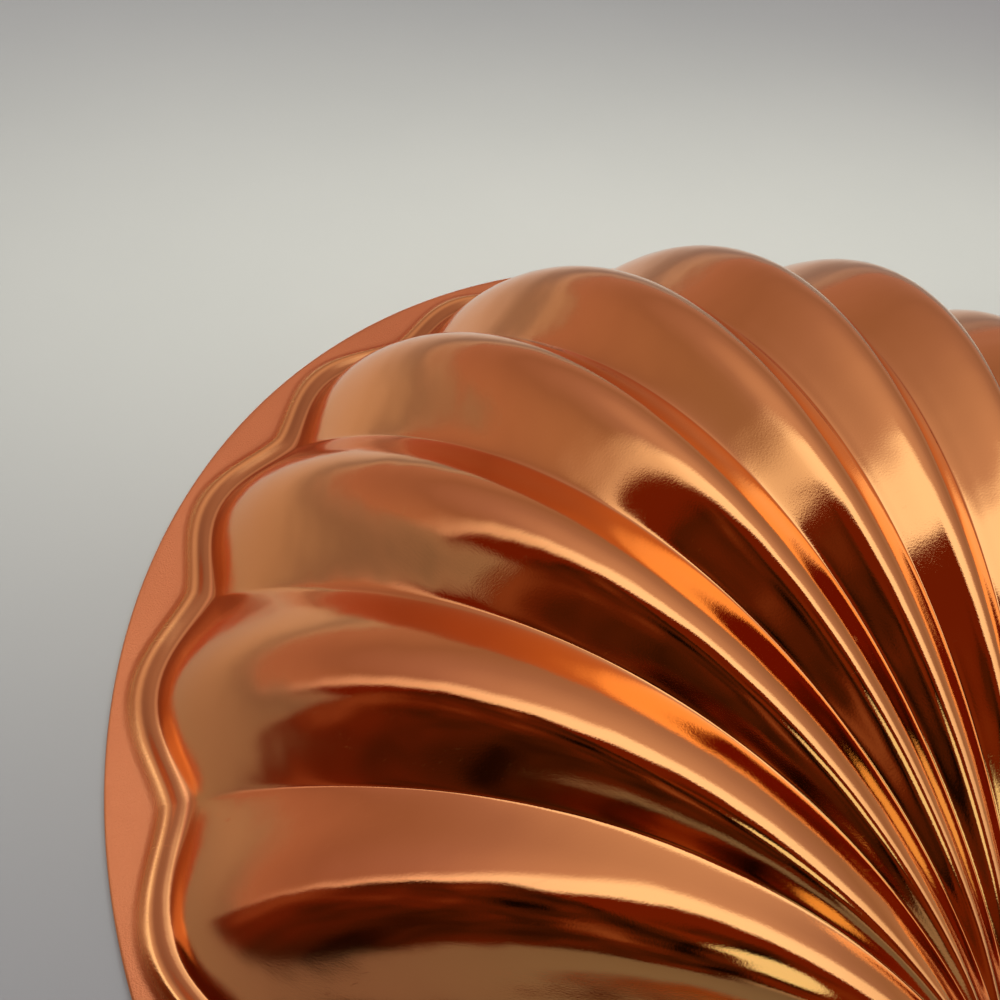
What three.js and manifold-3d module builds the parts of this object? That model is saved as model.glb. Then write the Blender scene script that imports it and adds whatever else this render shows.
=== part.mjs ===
// Scallop-shell jelly mould: one pressed sheet with fluted lobes and a flat rim,
// and a hanging ring held to the rim by a folded strap and two rivets.
// Millimetres, +Z up. The mould stands open side down on its rim, with the fan towards +Y.

import * as THREE from "three";
import { mergeVertices } from "three/addons/utils/BufferGeometryUtils.js";
import Module from "manifold-3d";

const wasm = await Module();
wasm.setup();

// Rim and sheet
const SHEET = 0.9;
const RIM_FLAT = 1.4;
const RIDGE_HEIGHT = 1.5;
const RIDGE_OUT = 3.0;
const RIDGE_FOOT_OUT = 4.4;
const GROOVE_OUT = 1.3;
const GROOVE_HEIGHT = 0.7;

// Fan of lobes
const LOBES = 13;
const LOBE_PITCH = THREE.MathUtils.degToRad(20);
const FOOT_RADIUS = 85.2;
const LOBE_BULGE = 4.0;
const BEAK_SLOPE = 16;
const RIB_FLARE = 0.018;
const LOBE_LEAN = 0.08;
const CREASE_SHARE = 0.5;
const NOTCH_POWER = 0.75;
const BULB_AT = 0.04;

// Dome
const DOME_HEIGHT = 44.5;
const BEAK_HEIGHT = 6;
const CROWN_AT = 0.48;
const SIDE_DROP = 2.0;
const FLUTE_DEPTH = 6.8;
const FLUTE_START = 0.35;
const FLUTE_TAPER = 0.75;
const FLUTE_FADE = [0.8, 0.94];
const FAN_FADE = [THREE.MathUtils.degToRad(95), THREE.MathUtils.degToRad(165)];
const BACK_POWER = 0.75;

// Hanger
const STRAP_SHEET = 0.7;
const STRAP_WIDTH = 13;
const STRAP_GRIP = 7.2;
const STRAP_BEAD_GAP = 3.4;
const NECK_GAP = 0.2;
const LEAF_GAP = 0.2;
const SEAT_GAP = 0.05;
const RING_WIRE = 2.2;
const RING_CORNER = 3.2;
const RING_SIDE_PLAY = 0.8;
const EYE_CLEARANCE = 0.25;
const EYE_RIM_GAP = 0.35;
const EYE_TURN = THREE.MathUtils.degToRad(245);
const RING_TABLE_GAP = 0.1;
const RIVET_RADIUS = 1.1;
const RIVET_HEAD_RADIUS = 2.1;
const RIVET_HEAD_HEIGHT = 1.0;
const RIVET_SIDE_MARGIN = 0.9;
const RIVET_END_MARGIN = 1.1;
const RIVET_CLEARANCE = 0.1;

// Facets
const LOBE_STEPS = [-0.5, -0.38, -0.2, 0, 0.2, 0.38];
const HINGE_STEPS = 14;
const DOME_STEPS = [0, 0.015, 0.04, 0.075, 0.125, 0.19, 0.27, 0.36, 0.46, 0.57, 0.68, 0.78, 0.87, 0.94];
const WIRE_SIDES = 10;
const CORNER_STEPS = 5;
const BOW_STEPS = 20;
const EYE_STEPS = 16;
const HEAD_STEPS = 5;
const ROUND_SIDES = 20;
const MERGE_WITHIN = 1e-4;

// Values that follow from the sizes
const FAN_HALF = (LOBES / 2) * LOBE_PITCH;
const RIM_RADIUS = FOOT_RADIUS + LOBE_BULGE + RIDGE_FOOT_OUT + RIM_FLAT;
const HINGE_FOOT_RADIUS = RIM_RADIUS - STRAP_GRIP - STRAP_BEAD_GAP - RIDGE_FOOT_OUT;
const BEAK_SETBACK = HINGE_FOOT_RADIUS - BEAK_SLOPE;
const BEAK = new THREE.Vector2(0, -BEAK_SETBACK);
const FAN_LENGTH = FOOT_RADIUS + BEAK_SETBACK;
const WIRE_RADIUS = RING_WIRE / 2;
const EYE_RADIUS = WIRE_RADIUS + EYE_CLEARANCE + STRAP_SHEET / 2;
const LEAF_Z = SHEET + SEAT_GAP + STRAP_SHEET / 2;
const TOP_LEAF_Z = LEAF_Z + STRAP_SHEET + LEAF_GAP;
const STRAP_TOP = TOP_LEAF_Z + STRAP_SHEET / 2;
const STRAP_END_Y = -(RIM_RADIUS - STRAP_GRIP);
const EYE_Y = -(RIM_RADIUS + EYE_RIM_GAP + STRAP_SHEET / 2 + EYE_RADIUS);
const EYE_Z = LEAF_Z + EYE_RADIUS;
const RING_HALF_BAR = STRAP_WIDTH / 2 + RING_SIDE_PLAY;
const RING_BOW_RADIUS = RING_HALF_BAR + RING_CORNER;
const RING_REACH = RING_CORNER + RING_BOW_RADIUS;
const RING_DROP = EYE_Z - WIRE_RADIUS - RING_TABLE_GAP;
const RING_TILT = Math.asin(RING_DROP / RING_REACH);
const RING_TIP_Y = EYE_Y - RING_REACH * Math.cos(RING_TILT) - WIRE_RADIUS;
const RIVET_X = STRAP_WIDTH / 2 - RIVET_SIDE_MARGIN - RIVET_HEAD_RADIUS;
const RIVET_Y = STRAP_END_Y - RIVET_END_MARGIN - RIVET_HEAD_RADIUS;
const NECK_Y = RIVET_Y - RIVET_HEAD_RADIUS - NECK_GAP;
const HOLE_LENGTH = 4 * (STRAP_TOP + SHEET);

const { lerp, smoothstep } = THREE.MathUtils;

// How far an angle lies from its lobe's crest: 0 on the crest, 1 or -1 in the creases beside it.
function acrossLobe(phi) {
  const across = phi / LOBE_PITCH;
  return 2 * (across - Math.round(across));
}

// Share of a lobe's flank between an angle and the lobe's crest: 0 on the crest, 1 in either crease.
// Lobes stand square to the dome, so their crests lean towards the hinge, most at the sides.
function crestDistance(phi) {
  const crest = LOBE_PITCH * Math.round(phi / LOBE_PITCH);
  const lean = LOBE_LEAN * Math.sin(crest);
  const off = acrossLobe(phi) - lean;
  return off < 0 ? -off / (1 + lean) : off / (1 - lean);
}

// Section of a lobe across the fan, 1 on its crest, 0 in the crease beside it and outside the fan: a
// raised cosine mixed with a parabola, whose share sets how steeply two lobes meet in the crease.
function lobeRound(phi) {
  if (Math.abs(phi) >= FAN_HALF) return 0;
  const w = crestDistance(phi);
  const cosine = 0.5 + 0.5 * Math.cos(Math.PI * w);
  return lerp(cosine, 1 - w * w, CREASE_SHARE);
}

// The same for the foot line and the bead, whose notches are rounded.
function footRound(phi) {
  if (Math.abs(phi) >= FAN_HALF) return 0;
  return Math.pow(0.5 + 0.5 * Math.cos(Math.PI * acrossLobe(phi)), NOTCH_POWER);
}

// Radius, about the rim's centre, of the line where the wall rises from the rim. A little way up the
// rib the rounded notches have turned into the sharp creases between full round lobes.
function footRadius(phi, s = 0) {
  const hinge = smoothstep(Math.abs(phi), FAN_HALF, Math.PI);
  const round = lerp(footRound(phi), lobeRound(phi), smoothstep(s, 0, BULB_AT));
  return FOOT_RADIUS + (HINGE_FOOT_RADIUS - FOOT_RADIUS) * hinge + LOBE_BULGE * round;
}

// Share of the fan's profile at an angle: 1 over the fan, 0 on the hinge line behind the beak.
function fanShare(phi) {
  return 1 - smoothstep(Math.abs(phi), FAN_FADE[0], FAN_FADE[1]);
}

function polar(radius, phi) {
  return new THREE.Vector2(radius * Math.sin(phi), radius * Math.cos(phi));
}

// Height of the creases above the groove, s running from the foot (0) over the crown to the beak (1).
function fanProfile(s) {
  const end = (1 + Math.sqrt(1 - BEAK_HEIGHT / DOME_HEIGHT)) / 2;
  const power = Math.log(0.5 / end) / Math.log(CROWN_AT);
  const t = end * Math.pow(s, power);
  return DOME_HEIGHT * 4 * t * (1 - t);
}

// A point of the sheet's upper face on the dome: a rib's path from foot to beak, with its height.
function domePoint(phi, s) {
  const foot = polar(footRadius(phi, s), phi);
  const run = BEAK.clone().sub(foot);
  const bow = -RIB_FLARE * (phi / LOBE_PITCH) * fanShare(phi) * 4 * s * (1 - s);
  const x = foot.x + s * run.x - bow * run.y;
  const y = foot.y + s * run.y + bow * run.x;
  const length = Math.min(1, run.length() / FAN_LENGTH);
  const side = Math.pow(length, SIDE_DROP * (1 - s));
  const share = fanShare(phi);
  const creases = share * side * fanProfile(s) + (1 - share) * BEAK_HEIGHT * Math.pow(s, BACK_POWER);
  const onset = Math.sqrt(1 - Math.pow(1 - Math.min(1, s / FLUTE_START), 2));
  const fade = 1 - smoothstep(s, FLUTE_FADE[0], FLUTE_FADE[1]);
  const taper = Math.pow(1 - s, FLUTE_TAPER) * Math.sqrt(length);
  const flute = FLUTE_DEPTH * onset * taper * fade * lobeRound(phi);
  return new THREE.Vector3(x, y, SHEET + GROOVE_HEIGHT + creases + flute);
}

// A point of the rim's upper face, out from the foot line.
function rimPoint(phi, radius, height) {
  const p = polar(radius, phi);
  return new THREE.Vector3(p.x, p.y, SHEET + height);
}

// Angles of the grid's columns: each lobe's crease, flanks and crest, then the hinge sector.
function columnAngles() {
  const angles = [];
  for (let lobe = 0; lobe < LOBES; lobe += 1) {
    const centre = (lobe - (LOBES - 1) / 2) * LOBE_PITCH;
    LOBE_STEPS.forEach((step) => angles.push(centre + step * LOBE_PITCH));
  }
  const gap = 2 * (Math.PI - FAN_HALF);
  for (let i = 0; i < HINGE_STEPS; i += 1) angles.push(FAN_HALF + (gap * i) / HINGE_STEPS);
  return angles;
}

// Angle brought into the range from -180 to 180 degrees.
function wrapped(phi) {
  return phi > Math.PI ? phi - 2 * Math.PI : phi;
}

// One column of the upper face, from the rim's edge in to the last row before the beak.
function column(angle) {
  const phi = wrapped(angle);
  const foot = footRadius(phi);
  return [
    rimPoint(phi, RIM_RADIUS, 0),
    rimPoint(phi, foot + RIDGE_FOOT_OUT, 0),
    rimPoint(phi, foot + RIDGE_OUT, RIDGE_HEIGHT),
    rimPoint(phi, foot + GROOVE_OUT, GROOVE_HEIGHT),
    ...DOME_STEPS.map((s) => domePoint(phi, s)),
  ];
}

// The lower face: each point of the upper face moved in by the sheet along the mean normal there.
function offsetColumns(columns, beak) {
  const count = columns.length;
  const rows = columns[0].length;
  return columns.map((points, i) =>
    points.map((p, row) => {
      const before = columns[(i + count - 1) % count][row];
      const after = columns[(i + 1) % count][row];
      const along = after.clone().sub(before);
      const inner = row + 1 < rows ? points[row + 1] : beak;
      const outer = row > 0 ? points[row - 1] : p;
      const normal = inner.clone().sub(outer).cross(along).normalize();
      if (row <= 1) normal.set(0, 0, 1);
      if (normal.z < 0) normal.negate();
      return p.clone().addScaledVector(normal, -SHEET);
    }),
  );
}

// Closed sheet between the two faces, as one geometry.
function sheetGeometry(upper, lower, upperBeak, lowerBeak) {
  const count = upper.length;
  const rows = upper[0].length;
  const points = [];
  [upper, lower].forEach((face) => face.forEach((line) => points.push(...line)));
  points.push(upperBeak, lowerBeak);
  const at = (face, i, row) => face * count * rows + (i % count) * rows + row;
  const beakAt = (face) => 2 * count * rows + face;
  const index = [];
  const quad = (a, b, c, d) => index.push(a, b, c, a, c, d);
  for (let i = 0; i < count; i += 1) {
    for (let row = 0; row + 1 < rows; row += 1) {
      quad(at(0, i, row), at(0, i, row + 1), at(0, i + 1, row + 1), at(0, i + 1, row));
      quad(at(1, i, row), at(1, i + 1, row), at(1, i + 1, row + 1), at(1, i, row + 1));
    }
    index.push(at(0, i, rows - 1), beakAt(0), at(0, i + 1, rows - 1));
    index.push(at(1, i, rows - 1), at(1, i + 1, rows - 1), beakAt(1));
    quad(at(0, i, 0), at(0, i + 1, 0), at(1, i + 1, 0), at(1, i, 0));
  }
  const geometry = new THREE.BufferGeometry().setFromPoints(points);
  geometry.setIndex(index);
  return geometry;
}

function solidOf(geometry) {
  const bare = geometry.clone();
  bare.deleteAttribute("normal");
  bare.deleteAttribute("uv");
  const merged = mergeVertices(bare, MERGE_WITHIN);
  return new wasm.Manifold(
    new wasm.Mesh({
      numProp: 3,
      vertProperties: new Float32Array(merged.attributes.position.array),
      triVerts: new Uint32Array(merged.index.array),
    }),
  );
}

function geometryOf(solid) {
  const mesh = solid.getMesh();
  const geometry = new THREE.BufferGeometry();
  geometry.setAttribute("position", new THREE.BufferAttribute(new Float32Array(mesh.vertProperties), 3));
  geometry.setIndex(new THREE.BufferAttribute(new Uint32Array(mesh.triVerts), 1));
  geometry.computeVertexNormals();
  return geometry;
}

// Upright cylinders where the two rivets pass through the rim and the strap.
function rivetHoles(geometry) {
  const radius = RIVET_RADIUS + RIVET_CLEARANCE;
  let solid = solidOf(geometry);
  [-1, 1].forEach((side) => {
    const hole = new THREE.CylinderGeometry(radius, radius, HOLE_LENGTH, ROUND_SIDES);
    hole.rotateX(Math.PI / 2);
    hole.translate(side * RIVET_X, RIVET_Y, 0);
    solid = solid.subtract(solidOf(hole));
  });
  return geometryOf(solid);
}

function shellGeometry() {
  const upper = columnAngles().map(column);
  const beak = domePoint(0, 1);
  const lower = offsetColumns(upper, beak);
  const lowerBeak = beak.clone().setZ(beak.z - SHEET * Math.SQRT2);
  return rivetHoles(sheetGeometry(upper, lower, beak, lowerBeak));
}

// Outline of a band of even thickness along a line of points, its corners mitred.
function bandShape(line, thickness) {
  const side = (sign) =>
    line.map((p, i) => {
      const into = p.clone().sub(line[Math.max(0, i - 1)]).normalize();
      const onward = line[Math.min(line.length - 1, i + 1)].clone().sub(p).normalize();
      const d = into.clone().add(onward).normalize();
      const half = (sign * thickness) / 2 / d.dot(i > 0 ? into : onward);
      return new THREE.Vector2(p.x - d.y * half, p.y + d.x * half);
    });
  return new THREE.Shape([...side(1), ...side(-1).reverse()]);
}

// Folded strap, drawn in the plane of outward distance and height: lower leaf, eye, neck and upper leaf.
function strapGeometry() {
  const line = [new THREE.Vector2(STRAP_END_Y, LEAF_Z)];
  for (let i = 0; i <= EYE_STEPS; i += 1) {
    const angle = -Math.PI / 2 - (EYE_TURN * i) / EYE_STEPS;
    line.push(new THREE.Vector2(EYE_Y + EYE_RADIUS * Math.cos(angle), EYE_Z + EYE_RADIUS * Math.sin(angle)));
  }
  line.push(new THREE.Vector2(NECK_Y, TOP_LEAF_Z), new THREE.Vector2(STRAP_END_Y, TOP_LEAF_Z));
  const strap = new THREE.ExtrudeGeometry(bandShape(line, STRAP_SHEET), {
    depth: STRAP_WIDTH, bevelEnabled: false, steps: 1,
  });
  strap.applyMatrix4(new THREE.Matrix4().makeBasis(
    new THREE.Vector3(0, 1, 0), new THREE.Vector3(0, 0, 1), new THREE.Vector3(1, 0, 0)));
  strap.translate(-STRAP_WIDTH / 2, 0, 0);
  return rivetHoles(strap);
}

// Closed D of wire in its own plane: the bar lies on X through the origin, the bow towards -Y.
function ringPath() {
  const points = [];
  const arc = (cx, cy, r, from, to, steps) => {
    for (let i = 0; i < steps; i += 1) {
      const a = from + ((to - from) * i) / steps;
      points.push(new THREE.Vector2(cx + r * Math.cos(a), cy + r * Math.sin(a)));
    }
  };
  arc(RING_HALF_BAR, -RING_CORNER, RING_CORNER, Math.PI / 2, 0, CORNER_STEPS);
  arc(0, -RING_CORNER, RING_BOW_RADIUS, 0, -Math.PI, BOW_STEPS);
  arc(-RING_HALF_BAR, -RING_CORNER, RING_CORNER, Math.PI, Math.PI / 2, CORNER_STEPS);
  points.push(new THREE.Vector2(-RING_HALF_BAR, 0), new THREE.Vector2(0, 0));
  return points;
}

// Round wire swept round a closed flat path.
function ringGeometry() {
  const path = ringPath();
  const count = path.length;
  const points = [];
  path.forEach((p, i) => {
    const d = path[(i + 1) % count].clone().sub(path[(i + count - 1) % count]).normalize();
    for (let k = 0; k < WIRE_SIDES; k += 1) {
      const a = (2 * Math.PI * (k + 0.5)) / WIRE_SIDES;
      const out = WIRE_RADIUS * Math.cos(a);
      points.push(new THREE.Vector3(p.x - d.y * out, p.y + d.x * out, WIRE_RADIUS * Math.sin(a)));
    }
  });
  const index = [];
  for (let i = 0; i < count; i += 1) {
    for (let k = 0; k < WIRE_SIDES; k += 1) {
      const a = i * WIRE_SIDES + k;
      const b = i * WIRE_SIDES + ((k + 1) % WIRE_SIDES);
      const c = ((i + 1) % count) * WIRE_SIDES + ((k + 1) % WIRE_SIDES);
      const d = ((i + 1) % count) * WIRE_SIDES + k;
      index.push(a, b, c, a, c, d);
    }
  }
  const geometry = new THREE.BufferGeometry().setFromPoints(points);
  geometry.setIndex(index);
  geometry.computeVertexNormals();
  return geometry;
}

// Domed rivet: shank flush with the rim's underside, head on the strap's upper leaf.
function rivetGeometry() {
  const seat = STRAP_TOP + SEAT_GAP;
  const profile = [
    new THREE.Vector2(0, SEAT_GAP),
    new THREE.Vector2(RIVET_RADIUS, SEAT_GAP),
    new THREE.Vector2(RIVET_RADIUS, seat),
    new THREE.Vector2(RIVET_HEAD_RADIUS, seat),
  ];
  for (let i = 1; i < HEAD_STEPS; i += 1) {
    const a = (Math.PI / 2) * (i / HEAD_STEPS);
    profile.push(new THREE.Vector2(RIVET_HEAD_RADIUS * Math.cos(a), seat + RIVET_HEAD_HEIGHT * Math.sin(a)));
  }
  profile.push(new THREE.Vector2(0, seat + RIVET_HEAD_HEIGHT));
  return new THREE.LatheGeometry(profile, ROUND_SIDES);
}

const copperTone = new THREE.MeshStandardMaterial({ color: 0xc27a4a, roughness: 0.22, metalness: 1 });
const hangerMetal = new THREE.MeshStandardMaterial({ color: 0xb9734a, roughness: 0.3, metalness: 1 });

function named(name, geometry, material) {
  const mesh = new THREE.Mesh(geometry, material);
  mesh.name = name;
  return mesh;
}

const part = new THREE.Group();
part.position.y = (-RING_TIP_Y - RIM_RADIUS) / 2;
part.add(named("mould_shell", shellGeometry(), copperTone));
part.add(named("hanger_strap", strapGeometry(), hangerMetal));

const ring = named("hanger_ring", ringGeometry(), hangerMetal);
ring.position.set(0, EYE_Y, EYE_Z);
ring.rotation.x = RING_TILT;
part.add(ring);

[["rivet_left", -1], ["rivet_right", 1]].forEach(([name, side]) => {
  const rivet = named(name, rivetGeometry(), hangerMetal);
  rivet.rotation.x = Math.PI / 2;
  rivet.position.set(side * RIVET_X, RIVET_Y, 0);
  part.add(rivet);
});

export default part;
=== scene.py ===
"""Scallop-shell jelly mould of copper-tone sheet on a pale table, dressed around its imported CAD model.

Sizes are in millimetres, as in the part, and become metres when a mesh is made.
"""

import math

import bpy
import numpy as np
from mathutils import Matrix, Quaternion, Vector


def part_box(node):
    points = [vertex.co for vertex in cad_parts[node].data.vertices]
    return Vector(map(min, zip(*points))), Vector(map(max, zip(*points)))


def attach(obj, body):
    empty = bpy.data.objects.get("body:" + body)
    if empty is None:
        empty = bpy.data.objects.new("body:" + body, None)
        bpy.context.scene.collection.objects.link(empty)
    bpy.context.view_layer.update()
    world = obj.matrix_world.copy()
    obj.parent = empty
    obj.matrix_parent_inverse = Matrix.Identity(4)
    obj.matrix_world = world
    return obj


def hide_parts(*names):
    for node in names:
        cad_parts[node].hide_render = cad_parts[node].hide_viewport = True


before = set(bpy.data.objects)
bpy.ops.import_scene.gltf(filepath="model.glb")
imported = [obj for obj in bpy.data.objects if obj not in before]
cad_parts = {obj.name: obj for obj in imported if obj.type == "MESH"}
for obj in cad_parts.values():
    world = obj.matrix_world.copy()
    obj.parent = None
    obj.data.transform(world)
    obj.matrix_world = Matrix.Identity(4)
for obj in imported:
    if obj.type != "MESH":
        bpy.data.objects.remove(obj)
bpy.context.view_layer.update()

MM = 0.001

# Rim and sheet
SHEET = 0.9
RIM_RADIUS = 95.0
RIM_EDGE_ROUND = 0.3
RIDGE_HEIGHT = 1.2
RIDGE_OUT = 2.5
RIDGE_FOOT_OUT = 4.6
GROOVE_OUT = 1.3
GROOVE_HEIGHT = 0.7

# Fan of lobes
LOBES = 13
LOBE_PITCH = math.radians(20)
FOOT_RADIUS = 85.2
LOBE_BULGE = 4.0
HINGE_FOOT_RADIUS = 80.0
BEAK_SETBACK = 64.0
RIB_FLARE = 0.018
LOBE_LEAN = 0.35
LEAN_RANGE = (0.1, 0.6)
CREASE_SHARE = 0.5
CREASE_ROUND = 0.03
NOTCH_POWER = 0.75
BULB_AT = 0.04

# Dome
DOME_HEIGHT = 44.5
BEAK_HEIGHT = 6.0
CROWN_AT = 0.48
SIDE_DROP = 2.0
FLUTE_DEPTH = 6.8
FLUTE_START = 0.35
FLUTE_TAPER = 0.92
FLUTE_FADE = (0.8, 0.94)
FAN_FADE = (math.radians(95), math.radians(165))
BACK_POWER = 0.75
FOOT_FILLET = 0.009

# Hanger
STRAP_SHEET = 0.7
STRAP_WIDTH = 13.0
STRAP_GRIP = 7.2
STRAP_BEVEL = 0.12
LEAF_GAP = 0.2
SEAT_GAP = 0.05
RING_WIRE = 2.2
RING_CORNER = 3.2
RING_SIDE_PLAY = 0.8
EYE_CLEARANCE = 0.25
EYE_OUT = 2.4
EYE_TURN = math.radians(245)
RING_TABLE_GAP = 0.1
RIVET_RADIUS = 1.1
RIVET_HEAD_RADIUS = 2.1
RIVET_HEAD_HEIGHT = 1.0
RIVET_SPACING = 7.0
RIVET_INSET = 4.0
RIVET_TIP_SHARE = 0.7
RIVET_TIP_ROUND = 0.1
RIVET_HEAD_FOOT_SHARE = 0.97
RIVET_HEAD_RIM = 0.12

# Steps of the meshes
LOBE_COLUMNS = 32
HINGE_COLUMNS = 56
DOME_ROWS = 97
DOME_ROW_POWER = 1.45
BEAD_ROWS = 19
FLAT_ROWS = 6
LOWER_ROW_STEP = 3
EDGE_TURNS = (30, 60, 89, 91, 120, 150)
EYE_STEPS = 49
NECK_STEPS = 12
RING_CORNER_STEPS = 12
RING_BOW_STEPS = 64
RING_BAR_STEPS = 14
WIRE_SIDES = 24
RIVET_SIDES = 40
RIVET_DOME_STEPS = 14
BACKDROP_STEPS = 96

# Tints of the metals, each a pair that faint clouds mix
DOME_TINTS = ((0.94, 0.465, 0.145), (0.91, 0.435, 0.13))
LOBE_END_TINTS = ((0.92, 0.352, 0.126), (0.9, 0.333, 0.116))
# Painted shade: the dark brown that darkens the groove beside the bead, and how much of it is mixed in
GROOVE_PAINTED_SHADE = (0.45, 0.17, 0.055)
GROOVE_PAINTED_SHADE_SHARE = 0.8
INSIDE_TINTS = ((0.86, 0.86, 0.85), (0.76, 0.76, 0.76))
FITTINGS_TINTS = ((0.85, 0.39, 0.18), (0.75, 0.32, 0.14))

# Stretches of the attribute run over which the sheet's look changes
RUN_RIM_EDGE = -2.0
RUN_MATT = (-0.45, -1.0)
RUN_HAZY = (0.32, 0.05)
RUN_OUTWARD = (0.5, 0.1)
RUN_ABOVE_GROOVE = (-0.1, 0.06)
RUN_PAST_BEAD = (-0.5, -0.9)
RUN_INSIDE_RIDGE = (-0.5, -0.36)
RUN_BELOW_WALL = (0.0, -0.12)

# Roughness of the polished sheet, what each kind of wear adds to it, and its fine relief
POLISH = 0.015
LOBE_END_HAZE = 0.1
CLOUD_HAZE = 0.03
RIM_HAZE = 0.2
SCRATCH_HAZE = 0.12
SPECK_HAZE = 0.25
FITTINGS_SCRATCH_HAZE = 0.15
BUMP_DISTANCE = 0.2
SHEET_BUMP = 0.35
DOME_GRAIN = 0.1
RIM_GRAIN = 1.4
RIPPLE_HEIGHT = 4.5

# Noises, each with its scale, detail and roughness, and the values at which marks show
GRAIN_NOISE = (4200, 3, 0.7)
RIPPLE_NOISE = (75, 2, 0.4)
HAZE_NOISE = (38, 4, 0.6)
HAIR_NOISE = (1, 1, 0.4)
HAIR_TURN = (0.3, 0.2, 0.9)
HAIR_STRETCH = (60, 2400, 900)
HAIR_SHOWS = (0.69, 0.74)
HAIR_PLACE_NOISE = (90, 1, 0.5)
HAIR_PLACE_SHOWS = (0.5, 0.62)
SPECK_SCALE = 130
SPECK_SHOWS = (0.07, 0.03)
SPECK_PLACE_NOISE = (45, 1, 0.5)
SPECK_PLACE_SHOWS = (0.56, 0.6)
TABLE_CLOUD_NOISE = (14, 5, 0.6)
TABLE_GRAIN_NOISE = (900, 2, 0.5)
ROOM_NOISE = (3.1, 2, 0.5)
CARD_NOISE = (22, 3, 0.55)

# Table, backdrop and camera
TABLE_HALF = 3000.0
# Painted light: the table is darker near the mould and tinted paler away from it, making up for the lamp
# light that falls off with distance
TABLE_TINTS = ((0.325, 0.378, 0.363), (0.36, 0.413, 0.398))
FAR_TABLE_PAINTED_LIGHT_TINT = (0.6, 0.66, 0.61)
FAR_TABLE_PAINTED_LIGHT_RANGE = (200.0, 500.0)
TABLE_ROUGHNESS = 0.45
TABLE_BUMP = 0.05
BACKDROP_RADIUS = 2800.0
BACKDROP_HEIGHT = 3000.0
BACKDROP_GLOW = (0.4, 0.4, 0.39)
CAMERA_PLACE = (-80.6, -46.4, 128.9)
CAMERA_AIM = (-33.65, 41.86, 0.0)
CAMERA_ROLL = math.radians(17.29)
CAMERA_LENS = 36.1
CAMERA_SENSOR = 36.0
CAMERA_CLIP = 10.0

# Glow of the room: stops over the height of a direction, or over blotchy noise
ROOM_STRENGTH = 1.15
WALL_STOPS = [(0.0, (0.38, 0.255, 0.235)), (0.3, (0.29, 0.19, 0.183)),
              (0.6, (0.36, 0.245, 0.285)), (0.95, (0.56, 0.41, 0.48))]
BAND_STOPS = [(0.0, (0.52, 0.44, 0.5)), (0.5, (0.82, 0.75, 0.87)),
              (0.77, (1.0, 0.98, 1.2)), (0.95, (1.1, 1.08, 1.33))]
SHADE_STOPS = [(0.33, (0.006, 0.003, 0.001)), (0.42, (0.06, 0.015, 0.004)),
               (0.52, (0.13, 0.02, 0.004)), (0.7, (0.16, 0.036, 0.012))]
SHADE_EDGE = (0.13, 0.018, 0.004)
LIGHT_TO_RIGHT = 0.9
BAND_TO_RIGHT = 0.55
BAND_RISE = -0.3
BAND_RANGE = (0.13, -0.04)
LIGHT_RANGE = (-0.05, -0.015)
SHADE_EDGE_RANGE = (-0.5, -0.25)
WINDOW_GLOW = (0.85, 0.95, 0.93)
WINDOW_AZIMUTH = math.radians(-174)
WINDOW_ELEVATION = math.radians(38)
WINDOW_RADIUS = math.radians(12)
WINDOW_SOFTNESS = 0.1
CARD_STOPS = [(0.33, (0.004, 0.002, 0.001)), (0.43, (0.05, 0.015, 0.005)),
              (0.55, (0.12, 0.024, 0.008)), (0.66, (0.25, 0.09, 0.05))]
CARD_FOOT = ((-134, -12), (-66, -170))
CARD_LOW = 0.5
CARD_HIGH = 140.0

# Values that follow from the sizes
FAN_HALF = LOBES / 2 * LOBE_PITCH
FAN_LENGTH = FOOT_RADIUS + BEAK_SETBACK
WIRE_RADIUS = RING_WIRE / 2
EYE_RADIUS = WIRE_RADIUS + EYE_CLEARANCE + STRAP_SHEET / 2
LEAF_Z = SHEET + SEAT_GAP + STRAP_SHEET / 2
TOP_LEAF_Z = LEAF_Z + STRAP_SHEET + LEAF_GAP
STRAP_TOP = TOP_LEAF_Z + STRAP_SHEET / 2
EYE_Y = -(RIM_RADIUS + EYE_OUT)
EYE_Z = LEAF_Z + EYE_RADIUS
RING_HALF_BAR = STRAP_WIDTH / 2 + RING_SIDE_PLAY
RING_BOW_RADIUS = RING_HALF_BAR + RING_CORNER
RING_REACH = RING_CORNER + RING_BOW_RADIUS
RING_TILT = math.asin((EYE_Z - WIRE_RADIUS - RING_TABLE_GAP) / RING_REACH)

# The rim's centre in the shared frame, from the CAD shell's box
shell_low, shell_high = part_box("mould_shell")
RIM_CENTRE = np.array([0.0, (shell_low[1] + shell_high[1]) / 2, 0.0])


def smoothstep(x, low, high):
    """0 below low, 1 above high, and the cubic 3t^2 - 2t^3 between them."""
    t = np.clip((x - low) / (high - low), 0, 1)
    return t * t * (3 - 2 * t)


def across_lobe(phi):
    """How far an angle lies from its lobe's crest: 0 on the crest, 1 or -1 in the creases."""
    across = phi / LOBE_PITCH
    return 2 * (across - np.round(across))


def crest_distance(phi, s):
    """Share of a lobe's flank between an angle and the crest: 0 on the crest, 1 in either crease. Lobes
    stand square to the dome, so the crests lean towards the hinge, most at the sides and high up."""
    crest = LOBE_PITCH * np.round(phi / LOBE_PITCH)
    lean = LOBE_LEAN * np.sin(crest) * smoothstep(s, *LEAN_RANGE)
    off = across_lobe(phi) - lean
    return np.where(off < 0, -off / (1 + lean), off / (1 - lean))


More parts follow.
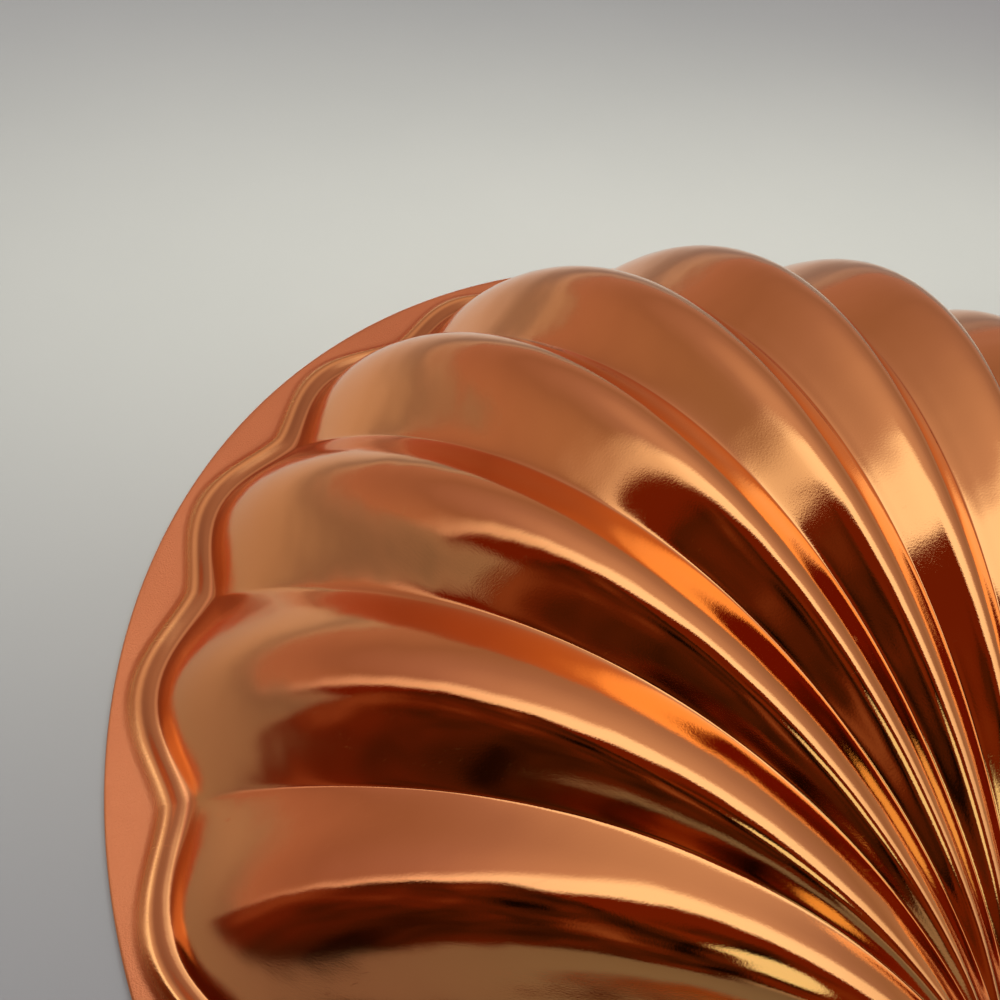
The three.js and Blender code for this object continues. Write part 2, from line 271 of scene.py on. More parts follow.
def lobe_round(phi, s):
    """Section of a lobe, 1 on the crest and 0 in the crease: a raised cosine mixed with a parabola, whose
    share sets how steeply the flanks meet, over a distance from the crease that a hyperbola rounds."""
    rounded = np.hypot(1 - crest_distance(phi, s), CREASE_ROUND) - CREASE_ROUND
    w = 1 - rounded / (math.hypot(1, CREASE_ROUND) - CREASE_ROUND)
    section = (1 - CREASE_SHARE) * (0.5 + 0.5 * np.cos(np.pi * w)) + CREASE_SHARE * (1 - w * w)
    return np.where(np.abs(phi) < FAN_HALF - 1e-6, section, 0)


def foot_round(phi):
    """Raised cosine to a power: lobes with rounded notches, for the foot line and the bead."""
    wave = (0.5 + 0.5 * np.cos(np.pi * across_lobe(phi))) ** NOTCH_POWER
    return np.where(np.abs(phi) < FAN_HALF - 1e-6, wave, 0)


def foot_radius(phi, s):
    """Radius of the foot line about the rim's centre; a little way up, notches turn into creases."""
    hinge = smoothstep(np.abs(phi), FAN_HALF, math.pi)
    mix = smoothstep(s, 0, BULB_AT)
    lobes = foot_round(phi) * (1 - mix) + lobe_round(phi, s) * mix
    return FOOT_RADIUS + (HINGE_FOOT_RADIUS - FOOT_RADIUS) * hinge + LOBE_BULGE * lobes


def fan_profile(s):
    """Height along a crease, 4t(1-t) times the dome's height, with t a power of s that puts the
    crown at its place and ends at the beak's height."""
    end = (1 + math.sqrt(1 - BEAK_HEIGHT / DOME_HEIGHT)) / 2
    power = math.log(0.5 / end) / math.log(CROWN_AT)
    t = end * s ** power
    return DOME_HEIGHT * 4 * t * (1 - t)


def dome_points(phi, s):
    """Sheet's upper face on the dome. In plan a rib runs straight from its foot to the beak, bowed a
    little; in height the fan's profile fades into a plain slope behind the beak, and each lobe adds a
    round flute that grows from the foot and tapers to the beak."""
    foot = foot_radius(phi, s)
    foot_x = foot * np.sin(phi)
    foot_y = foot * np.cos(phi)
    run_x = -foot_x
    run_y = -BEAK_SETBACK - foot_y
    share = 1 - smoothstep(np.abs(phi), *FAN_FADE)
    bow = -RIB_FLARE * (phi / LOBE_PITCH) * share * 4 * s * (1 - s)
    x = foot_x + s * run_x - bow * run_y
    y = foot_y + s * run_y + bow * run_x
    length = np.minimum(1, np.hypot(run_x, run_y) / FAN_LENGTH)
    up = np.sqrt(s * s + FOOT_FILLET ** 2) - FOOT_FILLET
    up = up + s * (1 - (math.sqrt(1 + FOOT_FILLET ** 2) - FOOT_FILLET))
    creases = share * length ** (SIDE_DROP * (1 - s)) * fan_profile(up)
    creases = creases + (1 - share) * BEAK_HEIGHT * up ** BACK_POWER
    onset = np.sqrt(1 - (1 - np.minimum(1, up / FLUTE_START)) ** 2)
    fade = 1 - smoothstep(s, *FLUTE_FADE)
    flute = FLUTE_DEPTH * onset * (1 - s) ** FLUTE_TAPER * fade * length * lobe_round(phi, s)
    return np.stack([x, y, SHEET + GROOVE_HEIGHT + creases + flute], -1)


def bead_height(out):
    """Height of the bead above the flat rim: groove at the wall, up over the ridge, down to the rim."""
    ridge = GROOVE_HEIGHT + (RIDGE_HEIGHT - GROOVE_HEIGHT) * smoothstep(out, GROOVE_OUT * 0.5, RIDGE_OUT)
    return ridge - RIDGE_HEIGHT * smoothstep(out, RIDGE_OUT, RIDGE_FOOT_OUT)


def rim_points(phi, t):
    """Upper face from the foot line (t = 0) over the bead (t = 1) to the rim's edge (t = 2)."""
    foot = foot_radius(phi, 0 * phi)
    out = np.clip(t, 0, 1) * RIDGE_FOOT_OUT
    edge = RIM_RADIUS - RIM_EDGE_ROUND
    flat = foot + RIDGE_FOOT_OUT
    radius = np.where(t <= 1, foot + out, flat + (edge - flat) * (t - 1))
    height = np.where(t <= 1, bead_height(out), 0)
    return np.stack([radius * np.sin(phi), radius * np.cos(phi), SHEET + height], -1)


def edge_points(phi, angle):
    """Rounded cut edge of the rim: angle 0 is the upper face, 180 degrees the lower face."""
    radius = RIM_RADIUS - RIM_EDGE_ROUND * (1 - np.sin(angle))
    middle = np.where(angle <= np.pi / 2, SHEET - RIM_EDGE_ROUND, RIM_EDGE_ROUND)
    z = middle + RIM_EDGE_ROUND * np.cos(angle)
    return np.stack([radius * np.sin(phi), radius * np.cos(phi), z], -1)


def column_angles(per_lobe, hinge):
    """Angles round the rim, closest together beside each crease, and even over the hinge sector."""
    t = np.arange(per_lobe) / per_lobe * 2 - 1
    lobe = 0.5 * np.sin(t * math.pi / 2)
    centres = np.arange(LOBES) - (LOBES - 1) / 2
    fan = ((centres[:, None] + lobe[None]) * LOBE_PITCH).ravel()
    back = FAN_HALF + np.arange(hinge) / hinge * 2 * (math.pi - FAN_HALF)
    return np.concatenate([fan, np.where(back > math.pi, back - 2 * math.pi, back)])


def grid_normals(points):
    """Unit normals of a grid closed round its first axis, turned to point up."""
    along = np.roll(points, -1, 0) - np.roll(points, 1, 0)
    across = np.gradient(points, axis=1)
    normal = np.cross(along, across)
    normal /= np.maximum(np.linalg.norm(normal, axis=-1, keepdims=True), 1e-12)
    return normal * np.where(normal[..., 2:] < 0, -1, 1)


def grid_quads(columns, rows, close_rows=False):
    """Corner indices of the quads of a grid closed round its columns, numbered column by column."""
    i = np.arange(columns)[:, None]
    j = np.arange(rows if close_rows else rows - 1)[None]
    a = i * rows + j
    b = (i + 1) % columns * rows + j
    c = (i + 1) % columns * rows + (j + 1) % rows
    d = i * rows + (j + 1) % rows
    return np.stack([a, b, c, d], -1).reshape(-1, 4)


def make_piece(name, points, faces, materials, body, node, face_material=None):
    """A smooth mesh of points in millimetres about the rim's centre, riding on a body for a CAD node."""
    mesh = bpy.data.meshes.new(name)
    mesh.from_pydata((np.asarray(points) * MM + RIM_CENTRE).tolist(), [], faces)
    mesh.polygons.foreach_set("use_smooth", np.ones(len(mesh.polygons), dtype=bool))
    for material in materials:
        mesh.materials.append(material)
    if face_material is not None:
        mesh.polygons.foreach_set("material_index", face_material)
    mesh.update()
    piece = bpy.data.objects.new(name, mesh)
    bpy.context.collection.objects.link(piece)
    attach(piece, body)
    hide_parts(node)
    return piece


def shell_piece(outside, inside):
    """Pressed sheet as one closed skin: rows run from the beak down the upper face, over the bead, round
    the rim's edge and back up the lower face, which is the upper one moved in by the sheet. The attribute
    run is 1 at the beak, 0 at the foot of the wall, -1 past the bead and -2 at the rim's edge."""
    phi = column_angles(LOBE_COLUMNS, HINGE_COLUMNS)
    dome_s = np.linspace(0, 1, DOME_ROWS)[1:-1][::-1] ** DOME_ROW_POWER
    rim_t = np.concatenate([np.linspace(0, 1, BEAD_ROWS), np.linspace(1, 2, FLAT_ROWS)[1:]])
    edge = np.radians(EDGE_TURNS)
    dome = dome_points(*np.meshgrid(phi, dome_s, indexing="ij"))
    rim = rim_points(*np.meshgrid(phi, rim_t, indexing="ij"))
    upper = np.concatenate([dome, rim], 1)
    normal = grid_normals(upper)
    normal[:, -FLAT_ROWS:] = (0, 0, 1)
    keep = np.r_[0 : upper.shape[1] - 1 : LOWER_ROW_STEP, upper.shape[1] - 1]
    lower = (upper - SHEET * normal)[:, keep][:, ::-1]
    rows = np.concatenate([upper, edge_points(*np.meshgrid(phi, edge, indexing="ij")), lower], 1)
    columns, count = rows.shape[:2]
    beak = dome_points(np.zeros(1), np.ones(1))[0]
    under_beak = beak - (0, 0, SHEET * math.sqrt(2))
    points = np.concatenate([rows.reshape(-1, 3), [beak, under_beak]])
    first = np.arange(columns) * count
    after = np.roll(first, -1)
    top = np.full(columns, columns * count)
    upper_cap = np.stack([first, top, after], -1)
    lower_cap = np.stack([first + count - 1, after + count - 1, top + 1], -1)
    faces = grid_quads(columns, count).tolist() + upper_cap.tolist() + lower_cap.tolist()
    row_of = np.tile(np.arange(count - 1), columns)
    under = (row_of >= upper.shape[1] + len(edge) - 1).astype(np.int32)
    face_material = np.concatenate([under, np.zeros(columns, np.int32), np.ones(columns, np.int32)])
    piece = make_piece("shell_sheet", points, faces, [outside, inside], "mould",
                       "mould_shell", face_material)
    upper_run = np.concatenate([dome_s, -rim_t])
    run = np.concatenate([upper_run, np.full(len(edge), RUN_RIM_EDGE), upper_run[keep][::-1]])
    values = np.concatenate([np.tile(run, columns), [1.0, 1.0]])
    attribute = piece.data.attributes.new("run", "FLOAT", "POINT")
    attribute.data.foreach_set("value", values.astype(np.float32))
    return piece


def strap_piece(metal):
    """Folded strap: a band of even thickness along its centre line, carried across the strap's width
    with a small bevel at both sides."""
    inner = -(RIM_RADIUS - STRAP_GRIP)
    turn = -math.pi / 2 - EYE_TURN * np.linspace(0, 1, EYE_STEPS)
    eye = np.stack([EYE_Y + EYE_RADIUS * np.cos(turn), EYE_Z + EYE_RADIUS * np.sin(turn)], -1)
    neck_end = np.array([EYE_Y + EYE_RADIUS + EYE_OUT, TOP_LEAF_Z])
    ease = np.linspace(0, 1, NECK_STEPS)[1:, None]
    neck = eye[-1] + (neck_end - eye[-1]) * np.concatenate([ease, ease * ease * (3 - 2 * ease)], 1)
    line = np.concatenate([[[inner, LEAF_Z]], eye, neck, [[inner, TOP_LEAF_Z]]])
    tangent = np.gradient(line, axis=0)
    tangent /= np.linalg.norm(tangent, axis=1, keepdims=True)
    normal = np.stack([-tangent[:, 1], tangent[:, 0]], -1)
    widths = np.array([-1, -1, 1, 1]) * STRAP_WIDTH / 2 + np.array([0, 1, -1, 0]) * STRAP_BEVEL
    halves = STRAP_SHEET / 2 - np.array([1, 0, 0, 1]) * STRAP_BEVEL
    loops = [np.concatenate([line + normal * half, (line - normal * half)[::-1]]) for half in halves]
    outline = np.stack(loops, 1)
    x = np.broadcast_to(widths[None, :, None], (*outline.shape[:2], 1))
    points = np.concatenate([x, outline], -1)
    count = len(outline)
    across = len(widths)
    sides = grid_quads(count, across)
    i = np.arange(len(line) - 1)
    other = count - 1 - i
    end = np.stack([i, i + 1, other - 1, other], -1) * across
    far_end = end + across - 1
    faces = sides[:, ::-1].tolist() + end.tolist() + far_end[:, ::-1].tolist()
    piece = make_piece("strap", points.reshape(-1, 3), faces, [metal], "mould",
                       "hanger_strap")
    piece.data.polygons.foreach_set("use_smooth", np.zeros(len(piece.data.polygons), dtype=bool))
    return piece


def ring_arc(x, radius, angles):
    """Points of an arc in the ring's own plane, about a centre one corner radius off the bar."""
    return np.stack([x + radius * np.cos(angles), radius * np.sin(angles) - RING_CORNER], -1)


def ring_piece(metal):
    """D-ring: a round wire carried along a closed path of a straight bar, two corner arcs and a bow."""
    corner = np.linspace(0, 1, RING_CORNER_STEPS)
    right = math.pi / 2 * (1 - corner)
    left = math.pi - math.pi / 2 * corner
    bow = -math.pi * np.linspace(0, 1, RING_BOW_STEPS)[1:-1]
    bar = np.linspace(-RING_HALF_BAR, RING_HALF_BAR, RING_BAR_STEPS)[1:-1]
    path = np.concatenate([ring_arc(RING_HALF_BAR, RING_CORNER, right), ring_arc(0, RING_BOW_RADIUS, bow),
                           ring_arc(-RING_HALF_BAR, RING_CORNER, left), np.stack([bar, 0 * bar], -1)])
    tangent = np.roll(path, -1, 0) - np.roll(path, 1, 0)
    tangent /= np.linalg.norm(tangent, axis=1, keepdims=True)
    normal = np.stack([-tangent[:, 1], tangent[:, 0]], -1)
    a = np.arange(WIRE_SIDES) / WIRE_SIDES * 2 * math.pi
    flat = path[:, None] + WIRE_RADIUS * np.cos(a)[None, :, None] * normal[:, None]
    height = np.broadcast_to(WIRE_RADIUS * np.sin(a)[None, :, None], (*flat.shape[:2], 1))
    local = np.concatenate([flat, height], -1)
    y = local[..., 1] * math.cos(RING_TILT) - local[..., 2] * math.sin(RING_TILT)
    z = local[..., 1] * math.sin(RING_TILT) + local[..., 2] * math.cos(RING_TILT)
    points = np.stack([local[..., 0], EYE_Y + y, EYE_Z + z], -1)
    faces = grid_quads(len(path), len(a), close_rows=True)[:, ::-1]
    return make_piece("ring_wire", points.reshape(-1, 3), faces.tolist(), [metal], "ring",
                      "hanger_ring")


def rivet_piece(name, node, x, metal):
    """Rivet: a profile of shank, head underside and dome turned about an upright line."""
    seat = STRAP_TOP + SEAT_GAP
    y = -(RIM_RADIUS - RIVET_INSET)
    dome = np.linspace(0, math.pi / 2, RIVET_DOME_STEPS)[:-1]
    tip = RIVET_RADIUS * RIVET_TIP_SHARE
    head_foot = RIVET_HEAD_RADIUS * RIVET_HEAD_FOOT_SHARE
    shank_radius = [tip, RIVET_RADIUS, RIVET_RADIUS, head_foot]
    shank_height = [SEAT_GAP, SEAT_GAP + RIVET_TIP_ROUND, seat, seat]
    dome_height = seat + RIVET_HEAD_RIM + (RIVET_HEAD_HEIGHT - RIVET_HEAD_RIM) * np.sin(dome)
    radius = np.concatenate([shank_radius, RIVET_HEAD_RADIUS * np.cos(dome)])
    height = np.concatenate([shank_height, dome_height])
    a = np.arange(RIVET_SIDES) / RIVET_SIDES * 2 * math.pi
    count = len(height)
    ring = np.stack([x + radius * np.cos(a)[:, None], y + radius * np.sin(a)[:, None],
                     np.broadcast_to(height, (len(a), count))], -1)
    top = [x, y, seat + RIVET_HEAD_HEIGHT]
    points = np.concatenate([ring.reshape(-1, 3), [top]])
    first = np.arange(len(a)) * count
    last = first + count - 1
    cap = np.stack([last, np.roll(last, -1), np.full(len(a), len(points) - 1)], -1)
    faces = grid_quads(len(a), count).tolist() + cap.tolist() + [first[::-1].tolist()]
    return make_piece(name, points, faces, [metal], "mould", node)


def link(tree, output, target):
    """Join a node's output to another node's input."""
    tree.links.new(output, target)


def math_node(tree, operation, *values):
    """A Math node on sockets or plain numbers; gives its output."""
    node = tree.nodes.new("ShaderNodeMath")
    node.operation = operation
    for socket, value in zip(node.inputs, values):
        if isinstance(value, bpy.types.NodeSocket):
            link(tree, value, socket)
        else:
            socket.default_value = value
    return node.outputs[0]


def range_node(tree, value, start, end):
    """Smooth step of a value, 0 at the range's start and 1 at its end, whichever is larger."""
    node = tree.nodes.new("ShaderNodeMapRange")
    node.interpolation_type = "SMOOTHSTEP"
    link(tree, value, node.inputs["Value"])
    node.inputs["From Min"].default_value = start
    node.inputs["From Max"].default_value = end
    return node.outputs["Result"]


def noise_node(tree, vector, scale, detail, roughness):
    """Soft noise between 0 and 1."""
    node = tree.nodes.new("ShaderNodeTexNoise")
    link(tree, vector, node.inputs["Vector"])
    node.inputs["Scale"].default_value = scale
    node.inputs["Detail"].default_value = detail
    node.inputs["Roughness"].default_value = roughness
    return node.outputs["Fac"]


def ramp_node(tree, value, stops):
    """Colour ramp over a value, from (position, colour) stops."""
    node = tree.nodes.new("ShaderNodeValToRGB")
    link(tree, value, node.inputs["Fac"])
    elements = node.color_ramp.elements
    for element, (position, colour) in zip(elements, (stops[0], stops[-1])):
        element.position = position
        element.color = (*colour, 1)
    for position, colour in stops[1:-1]:
        elements.new(position).color = (*colour, 1)
    return node.outputs["Color"]


def mix_node(tree, factor, first, second):
    """Mix of two colours, each a socket or three numbers."""
    node = tree.nodes.new("ShaderNodeMix")
    node.data_type = "RGBA"
    link(tree, factor, node.inputs["Factor"])
    for socket, value in ((node.inputs["A"], first), (node.inputs["B"], second)):
        if isinstance(value, bpy.types.NodeSocket):
            link(tree, value, socket)
        else:
            socket.default_value = (*value, 1)
    return node.outputs["Result"]


def scaled_node(tree, value, by, plus):
    """A value times a number, plus a second value or number."""
    return math_node(tree, "MULTIPLY_ADD", value, by, plus)


def handling_group():
    """Marks of use on bright sheet: grain, soft ripples, cloudy haze, sparse hair scratches and specks."""
    group = bpy.data.node_groups.new("handling_marks", "ShaderNodeTree")
    group.interface.new_socket("Vector", in_out="INPUT", socket_type="NodeSocketVector")
    for name in ("Grain", "Ripples", "Haze", "Scratches", "Specks"):
        group.interface.new_socket(name, in_out="OUTPUT", socket_type="NodeSocketFloat")
    start = group.nodes.new("NodeGroupInput").outputs["Vector"]
    end = group.nodes.new("NodeGroupOutput")
    link(group, noise_node(group, start, *GRAIN_NOISE), end.inputs["Grain"])
    link(group, noise_node(group, start, *RIPPLE_NOISE), end.inputs["Ripples"])
    link(group, noise_node(group, start, *HAZE_NOISE), end.inputs["Haze"])
    stretch = group.nodes.new("ShaderNodeMapping")
    stretch.inputs["Rotation"].default_value = HAIR_TURN
    stretch.inputs["Scale"].default_value = HAIR_STRETCH
    link(group, start, stretch.inputs["Vector"])
    hairs = noise_node(group, stretch.outputs["Vector"], *HAIR_NOISE)
    thin = range_node(group, hairs, *HAIR_SHOWS)
    scratched = range_node(group, noise_node(group, start, *HAIR_PLACE_NOISE), *HAIR_PLACE_SHOWS)
    link(group, math_node(group, "MULTIPLY", thin, scratched), end.inputs["Scratches"])
    spots = group.nodes.new("ShaderNodeTexVoronoi")
    spots.inputs["Scale"].default_value = SPECK_SCALE
    link(group, start, spots.inputs["Vector"])
    small = range_node(group, spots.outputs["Distance"], *SPECK_SHOWS)
    spotted = range_node(group, noise_node(group, start, *SPECK_PLACE_NOISE), *SPECK_PLACE_SHOWS)
    link(group, math_node(group, "MULTIPLY", small, spotted), end.inputs["Specks"])
    return group


def metal_material(name, marks):
    """A metal with the handling marks placed in it; gives the material, its tree, shader and marks."""
    material = bpy.data.materials.new(name)
    material.use_nodes = True
    tree = material.node_tree
    shader = tree.nodes["Principled BSDF"]
    shader.inputs["Metallic"].default_value = 1.0
    place = tree.nodes.new("ShaderNodeTexCoord").outputs["Object"]
    used = tree.nodes.new("ShaderNodeGroup")
    used.node_tree = marks
    link(tree, place, used.inputs["Vector"])
    return material, tree, shader, used


def bump_into(tree, shader, height, strength):
    """Fine relief of the surface from a height in steps of the bump's distance."""
    bump = tree.nodes.new("ShaderNodeBump")
    bump.inputs["Strength"].default_value = strength
    bump.inputs["Distance"].default_value = BUMP_DISTANCE * MM
    link(tree, height, bump.inputs["Height"])
    link(tree, bump.outputs["Normal"], shader.inputs["Normal"])


def copper_tone_material(marks):
    """Copper-tone sheet: bright on the dome, hazier and pinker at the lobe ends, with painted shade
    darkening the groove beside the bead, and matt and grainy on the rim."""
    material, tree, shader, used = metal_material("copper_tone_sheet", marks)
    along = tree.nodes.new("ShaderNodeAttribute")
    along.attribute_name = "run"
    run = along.outputs["Fac"]
    cloud = used.outputs["Haze"]
    matt = range_node(tree, run, *RUN_MATT)
    outward = range_node(tree, run, *RUN_OUTWARD)
    above_groove = range_node(tree, run, *RUN_ABOVE_GROOVE)
    past_bead = range_node(tree, run, *RUN_PAST_BEAD)
    off_groove = math_node(tree, "MAXIMUM", above_groove, past_bead)
    pinker = math_node(tree, "MULTIPLY", outward, off_groove)
    dome_tint = mix_node(tree, cloud, *DOME_TINTS)
    end_tint = mix_node(tree, cloud, *LOBE_END_TINTS)
    tint = mix_node(tree, pinker, dome_tint, end_tint)
    # Painted shade: the groove between the wall's foot and the bead's ridge is mixed towards a dark brown
    inside_ridge = range_node(tree, run, *RUN_INSIDE_RIDGE)
    below_wall = range_node(tree, run, *RUN_BELOW_WALL)
    groove = math_node(tree, "MINIMUM", inside_ridge, below_wall)
    painted_groove_shade = math_node(tree, "MULTIPLY", groove, GROOVE_PAINTED_SHADE_SHARE)
    link(tree, mix_node(tree, painted_groove_shade, tint, GROOVE_PAINTED_SHADE), shader.inputs["Base Color"])
    rough = scaled_node(tree, range_node(tree, run, *RUN_HAZY), LOBE_END_HAZE, POLISH)
    rough = scaled_node(tree, cloud, CLOUD_HAZE, rough)
    rough = scaled_node(tree, matt, RIM_HAZE, rough)
    rough = scaled_node(tree, used.outputs["Scratches"], SCRATCH_HAZE, rough)
    rough = scaled_node(tree, used.outputs["Specks"], SPECK_HAZE, rough)
    link(tree, rough, shader.inputs["Roughness"])
    grain_depth = scaled_node(tree, matt, RIM_GRAIN, DOME_GRAIN)
    height = math_node(tree, "MULTIPLY", used.outputs["Grain"], grain_depth)
    height = scaled_node(tree, used.outputs["Ripples"], RIPPLE_HEIGHT, height)
    bump_into(tree, shader, height, SHEET_BUMP)
    return material


def satin_material(name, marks, tints, cloud_rough, least_rough, grain):
    """Satin metal whose tint and roughness follow faint clouds."""
    material, tree, shader, used = metal_material(name, marks)
    cloud = used.outputs["Haze"]
    link(tree, mix_node(tree, cloud, *tints), shader.inputs["Base Color"])
    rough = scaled_node(tree, cloud, cloud_rough, least_rough)
    rough = scaled_node(tree, used.outputs["Scratches"], FITTINGS_SCRATCH_HAZE, rough)
    link(tree, rough, shader.inputs["Roughness"])
    bump_into(tree, shader, used.outputs["Grain"], grain)
    return material


def table_material():
    """Pale matt table top with faint cloudy marks, and painted light that makes it darker near the mould
    and paler away from it, making up for the lamp light falling off with distance.
    """
    material = bpy.data.materials.new("table_top")
    material.use_nodes = True
    tree = material.node_tree
    shader = tree.nodes["Principled BSDF"]
    place = tree.nodes.new("ShaderNodeTexCoord").outputs["Object"]
    near = mix_node(tree, noise_node(tree, place, *TABLE_CLOUD_NOISE), *TABLE_TINTS)
    distance = tree.nodes.new("ShaderNodeVectorMath")
    distance.operation = "LENGTH"
    link(tree, place, distance.inputs[0])
    # Painted light: the table's tint turns paler away from the mould, where the lamp light falls off
    start, end = FAR_TABLE_PAINTED_LIGHT_RANGE
    far = range_node(tree, distance.outputs["Value"], start * MM, end * MM)
    link(tree, mix_node(tree, far, near, FAR_TABLE_PAINTED_LIGHT_TINT), shader.inputs["Base Color"])
    shader.inputs["Roughness"].default_value = TABLE_ROUGHNESS
    shader.inputs["Specular IOR Level"].default_value = 0.0
    bump_into(tree, shader, noise_node(tree, place, *TABLE_GRAIN_NOISE), TABLE_BUMP)
    return material


def glow_material(name):
    """A black surface ready for an emission colour; gives the material and its shader."""
    material = bpy.data.materials.new(name)
    material.use_nodes = True
    shader = material.node_tree.nodes["Principled BSDF"]
    shader.inputs["Base Color"].default_value = (0.0, 0.0, 0.0, 1)
    shader.inputs["Specular IOR Level"].default_value = 0.0
    shader.inputs["Emission Strength"].default_value = 1.0
    return material, shader


def make_table():
    """A flat square table top at the height the mould stands on."""
    size = TABLE_HALF * MM
    corners = [(-size, -size, 0), (size, -size, 0), (size, size, 0), (-size, size, 0)]
    mesh = bpy.data.meshes.new("table")
    mesh.from_pydata(corners, [], [(0, 1, 2, 3)])
    mesh.materials.append(table_material())
    table = bpy.data.objects.new("table", mesh)
    bpy.context.collection.objects.link(table)


def make_backdrop():
    """A pale round wall behind the table that only the camera sees."""
    angle = np.linspace(0, 2 * math.pi, BACKDROP_STEPS, endpoint=False)
    ring = np.stack([np.cos(angle), np.sin(angle), 0 * angle], -1) * BACKDROP_RADIUS
    points = np.stack([ring, ring + (0, 0, BACKDROP_HEIGHT)], 1) * MM
    mesh = bpy.data.meshes.new("backdrop")
    mesh.from_pydata(points.reshape(-1, 3).tolist(), [], grid_quads(len(angle), 2).tolist())
    material, shader = glow_material("backdrop")
    shader.inputs["Emission Color"].default_value = (*BACKDROP_GLOW, 1)
    mesh.materials.append(material)
    backdrop = bpy.data.objects.new("backdrop", mesh)
    bpy.context.collection.objects.link(backdrop)
    backdrop.visible_diffuse = False
    backdrop.visible_glossy = False
    backdrop.visible_shadow = False


def make_camera():
    """Camera at the photo's place, aimed at a point on the table and rolled as the photo is."""
    data = bpy.data.cameras.new("camera")
    data.sensor_width = CAMERA_SENSOR
    data.lens = CAMERA_LENS
    data.clip_start = CAMERA_CLIP * MM
    camera = bpy.data.objects.new("camera", data)
    place = Vector(CAMERA_PLACE) * MM + Vector(RIM_CENTRE)
    aim = Vector(CAMERA_AIM) * MM + Vector(RIM_CENTRE)
    camera.location = place
    camera.rotation_mode = "QUATERNION"
    level = (aim - place).to_track_quat("-Z", "Y")
    camera.rotation_quaternion = level @ Quaternion((0, 0, 1), CAMERA_ROLL)
    bpy.context.collection.objects.link(camera)
    bpy.context.scene.camera = camera


def room_window(tree, way):
    """Round patch of the room about the window's direction, 1 inside and 0 outside."""
    level = math.cos(WINDOW_ELEVATION)
    towards = tree.nodes.new("ShaderNodeVectorMath")
    towards.operation = "DOT_PRODUCT"
    link(tree, way, towards.inputs[0])
    towards.inputs[1].default_value = (level * math.sin(WINDOW_AZIMUTH), level * math.cos(WINDOW_AZIMUTH),
                                       math.sin(WINDOW_ELEVATION))
    outer = math.cos(WINDOW_RADIUS * (1 + WINDOW_SOFTNESS))
    inner = math.cos(WINDOW_RADIUS * (1 - WINDOW_SOFTNESS))
    return range_node(tree, towards.outputs["Value"], outer, inner)


def make_light():
    """Soft room: a beige wall on the fan's side, a white band overhead from side to side, and a dark side
    behind the beak with a red-brown edge and a window. On the right the light reaches further back."""
    world = bpy.data.worlds.new("soft_room")
    bpy.context.scene.world = world
    world.use_nodes = True
    tree = world.node_tree
    way = tree.nodes.new("ShaderNodeTexCoord").outputs["Generated"]
    parts = tree.nodes.new("ShaderNodeSeparateXYZ")
    link(tree, way, parts.inputs[0])
    x, y, z = parts.outputs
    right = math_node(tree, "MAXIMUM", x, 0.0)
    lean = scaled_node(tree, right, LIGHT_TO_RIGHT, y)
    front = scaled_node(tree, z, BAND_RISE, scaled_node(tree, right, BAND_TO_RIGHT, y))
    wall = ramp_node(tree, z, WALL_STOPS)
    band = ramp_node(tree, z, BAND_STOPS)
    lit = mix_node(tree, range_node(tree, front, *BAND_RANGE), wall, band)
    shade = ramp_node(tree, noise_node(tree, way, *ROOM_NOISE), SHADE_STOPS)
    dark = mix_node(tree, range_node(tree, lean, *SHADE_EDGE_RANGE), shade, SHADE_EDGE)
    room = mix_node(tree, range_node(tree, lean, *LIGHT_RANGE), dark, lit)
    room = mix_node(tree, room_window(tree, way), room, WINDOW_GLOW)
    background = tree.nodes["Background"]
    link(tree, room, background.inputs["Color"])
    background.inputs["Strength"].default_value = ROOM_STRENGTH


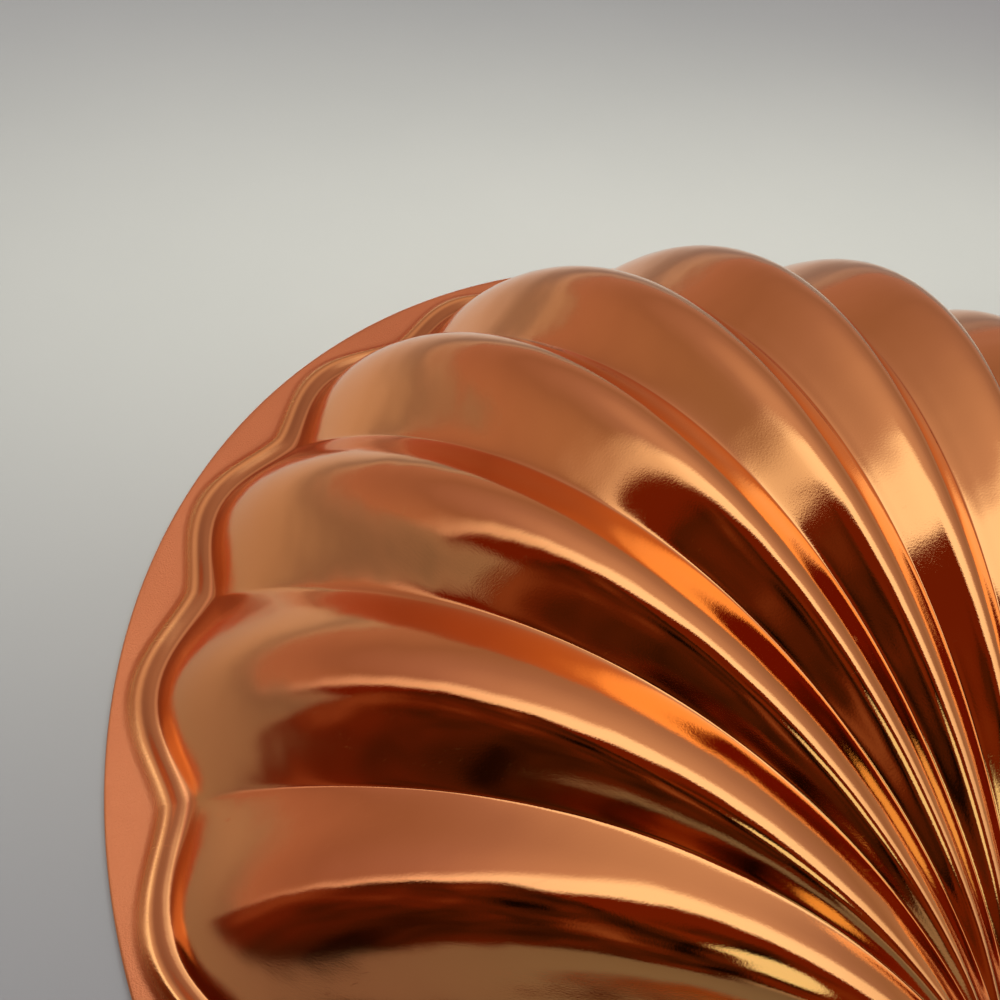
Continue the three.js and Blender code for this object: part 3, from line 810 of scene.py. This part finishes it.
def make_lamp(name, place, length, width, spread, energy, colour):
    """Soft lamp over the table, in millimetres and degrees, that the metal doesn't mirror."""
    data = bpy.data.lights.new(name, "AREA")
    data.shape = "RECTANGLE"
    data.size = length * MM
    data.size_y = width * MM
    data.spread = math.radians(spread)
    data.energy = energy
    data.color = colour
    lamp = bpy.data.objects.new(name, data)
    lamp.location = Vector(place) * MM + Vector(RIM_CENTRE)
    lamp.visible_camera = False
    lamp.visible_glossy = False
    bpy.context.collection.objects.link(lamp)


def make_shade_card():
    """A dark blotchy upright card beside the table's near left, seen only in the metal's reflections."""
    low = [(*foot, CARD_LOW) for foot in CARD_FOOT]
    high = [(*foot, CARD_HIGH) for foot in CARD_FOOT]
    points = np.array(low + high[::-1]) * MM + RIM_CENTRE
    mesh = bpy.data.meshes.new("shade_card")
    mesh.from_pydata(points.tolist(), [], [(0, 1, 2, 3)])
    material, shader = glow_material("shade_card")
    tree = material.node_tree
    place = tree.nodes.new("ShaderNodeTexCoord").outputs["Object"]
    blotch = noise_node(tree, place, *CARD_NOISE)
    link(tree, ramp_node(tree, blotch, CARD_STOPS), shader.inputs["Emission Color"])
    mesh.materials.append(material)
    card = bpy.data.objects.new("shade_card", mesh)
    bpy.context.collection.objects.link(card)
    card.visible_camera = False
    card.visible_diffuse = False
    card.visible_shadow = False


marks = handling_group()
fittings = satin_material("copper_tone_fittings", marks, FITTINGS_TINTS,
                          cloud_rough=0.18, least_rough=0.2, grain=0.1)
inside = satin_material("plain_sheet_inside", marks, INSIDE_TINTS,
                        cloud_rough=0.2, least_rough=0.26, grain=0.12)
shell_piece(copper_tone_material(marks), inside)
strap_piece(fittings)
ring_piece(fittings)
rivet_piece("rivet_head_left", "rivet_left", -RIVET_SPACING / 2, fittings)
rivet_piece("rivet_head_right", "rivet_right", RIVET_SPACING / 2, fittings)
make_table()
make_backdrop()
make_camera()
make_light()
make_lamp("table_lamp", (21, 93, 140), length=370, width=40, spread=130, energy=0.29,
          colour=(1.0, 0.87, 0.75))
make_lamp("far_lamp", (-200, 650, 400), length=700, width=500, spread=150, energy=0.9,
          colour=(1.0, 0.95, 0.9))
make_shade_card()

bpy.context.scene.view_settings.view_transform = "Standard"
